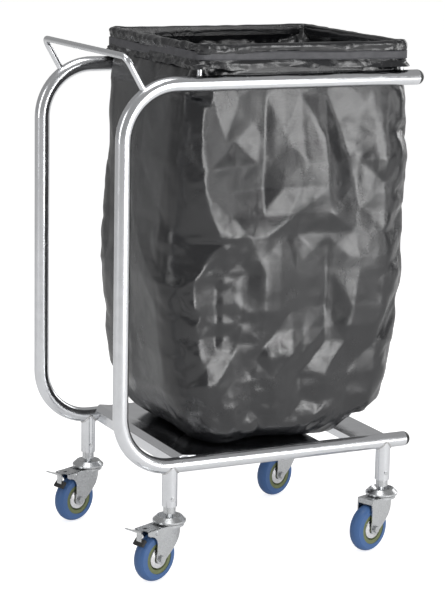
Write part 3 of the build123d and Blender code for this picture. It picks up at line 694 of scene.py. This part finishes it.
rib_bump = linked(film_tree, "ShaderNodeBump", [
    ("Height", film_ribs.outputs["Fac"]), ("Strength", 0.12), ("Distance", 0.0003),
])
grain_bump = linked(film_tree, "ShaderNodeBump", [
    ("Height", film_grain.outputs["Fac"]), ("Strength", 0.5), ("Distance", 0.0006),
    ("Normal", rib_bump.outputs["Normal"]),
])
film_tree.links.new(film_tone.outputs[2], film_shader.inputs["Base Color"])
film_tree.links.new(film_rough.outputs["Result"], film_shader.inputs["Roughness"])
film_tree.links.new(grain_bump.outputs["Normal"], film_shader.inputs["Normal"])


def film_from_grid(name, columns, rows, points):
    """A piece of bag film on the chassis, wrapped by points(u, v)."""
    return piece_from(name, film_mesh(columns, rows, points), film)


bag = film_from_grid("bag_body", bag_columns, bag_rows, settled_points)
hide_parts("linen_bag")

# The rim of the bag is turned out over the hoop and gathered under a band.
cuff_hem_z = hoop_z - 0.032
cuff_columns, cuff_rows = 720, 40
hoop_corner = 0.008
cuff_roll = 0.0062       # how far out the film turns round the hoop's rod


def cuff_points(u, v):
    """The turned-over rim: v runs from inside the hoop (0), over it, to the outer hem (1)."""
    x, y, nx, ny = round_rectangle(
        u, hoop_mid_x - hoop_half_x, hoop_mid_x + hoop_half_x, hoop_half_y, hoop_corner)
    back_side = np.clip(-(x - hoop_mid_x + hoop_half_x * 0.86) / 0.02, 0, 1)
    past_x, past_y = np.abs(x - hoop_mid_x) - hoop_half_x, np.abs(y) - hoop_half_y
    corner_near = np.exp(-(past_x**2 + past_y**2) / 0.0009)
    gather = 0.35 + 0.65 * back_side + 0.9 * corner_near
    over = np.clip((v - 0.12) / 0.25, 0, 1)
    angle = math.pi * (1 - over)
    down_in = np.clip(1 - v / 0.12, 0, 1) * 0.010
    lower_ahead = 0.005 * np.clip((x - hoop_mid_x) / hoop_half_x, 0, 1)
    down_out = np.clip((v - 0.37) / 0.63, 0, 1) * (hoop_z - cuff_hem_z + lower_ahead)
    radial = cuff_roll * np.cos(angle)
    z = hoop_z + cuff_roll * np.sin(angle) - down_in - down_out
    depth = hoop_z - z
    pinch = np.exp(-((depth - 0.0135) / 0.008)**2)
    tight = lattice(u + 0.0015 * wave_noise(u, v, 60, 4, 21), v * 0.9, 190, 9, 22)
    loose = wave_noise(u, v * 0.8, 70, 3, 23)
    facets = lattice(u, v, 40, 6, 24)
    puff = (0.0014 + 0.0018 * gather * (0.5 + 0.5 * loose)) * (1 - 0.85 * pinch)
    puff = puff * np.clip(over * 3, 0, 1)
    fold = (0.0026 * gather * tight + 0.0036 * facets) * (1 - 0.8 * pinch)
    fold = fold * np.clip(0.25 + over, 0, 1)
    hem_flare = 0.0022 * np.clip((depth - 0.022) / 0.016, 0, 1) * (1 + 0.8 * loose)
    out = radial + np.where(over > 0, puff + fold + hem_flare, fold * 0.4)
    rise = 0.0022 * gather * (0.6 + 0.7 * loose) * np.sin(angle)
    hem_wave = 0.003 * np.clip(v - 0.8, 0, 1) * 5 * loose
    z = z + rise + hem_wave
    return x + nx * out, y + ny * out, z


cuff = film_from_grid("bag_cuff", cuff_columns, cuff_rows, cuff_points)

# ------------------------------------------------------------------ retaining band
# A flat grey rubber band pulled round the cuff, a little askew.
band_grey = finish_material("band_rubber", (0.10, 0.10, 0.11), 0.6)
add_polish(band_grey, (0.070, 0.070, 0.077), (0.048, 0.048, 0.053), 0.5, 0.7, 80.0, 0.3)
band_low, band_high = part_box("retaining_band")
band_out = (band_high.x - band_low.x) / 2 - hoop_half_x
band_thickness = 0.0012
bm = bmesh.new()
bmesh.ops.create_grid(bm, x_segments=360, y_segments=4, size=0.5)
bm.verts.ensure_lookup_table()
band_uv = np.array([(vert.co.x + 0.5, vert.co.y) for vert in bm.verts])
bx, by, bnx, bny = round_rectangle(
    band_uv[:, 0], hoop_mid_x - hoop_half_x - band_out, hoop_mid_x + hoop_half_x + band_out,
    hoop_half_y + band_out, hoop_corner + band_out)
band_slope = 0.003 * np.where(by < 0, -(bx - hoop_mid_x) / hoop_half_x, -0.8)
band_mid_z = (band_low.z + band_high.z) / 2 + band_slope
band_wave = 0.0008 * wave_noise(band_uv[:, 0], band_uv[:, 0] * 0, 40, 1, 31)
bz = band_mid_z + band_uv[:, 1] * (band_high.z - band_low.z) + band_wave
for vert, px, py, pz in zip(bm.verts, bx + bnx * band_wave, by + bny * band_wave, bz):
    vert.co = (px, py, pz)
bmesh.ops.remove_doubles(bm, verts=bm.verts, dist=1e-6)
band = piece_from("band", bm, band_grey)
thick = band.modifiers.new("thickness", "SOLIDIFY")
thick.thickness = band_thickness
thick.offset = -1.0
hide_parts("retaining_band")
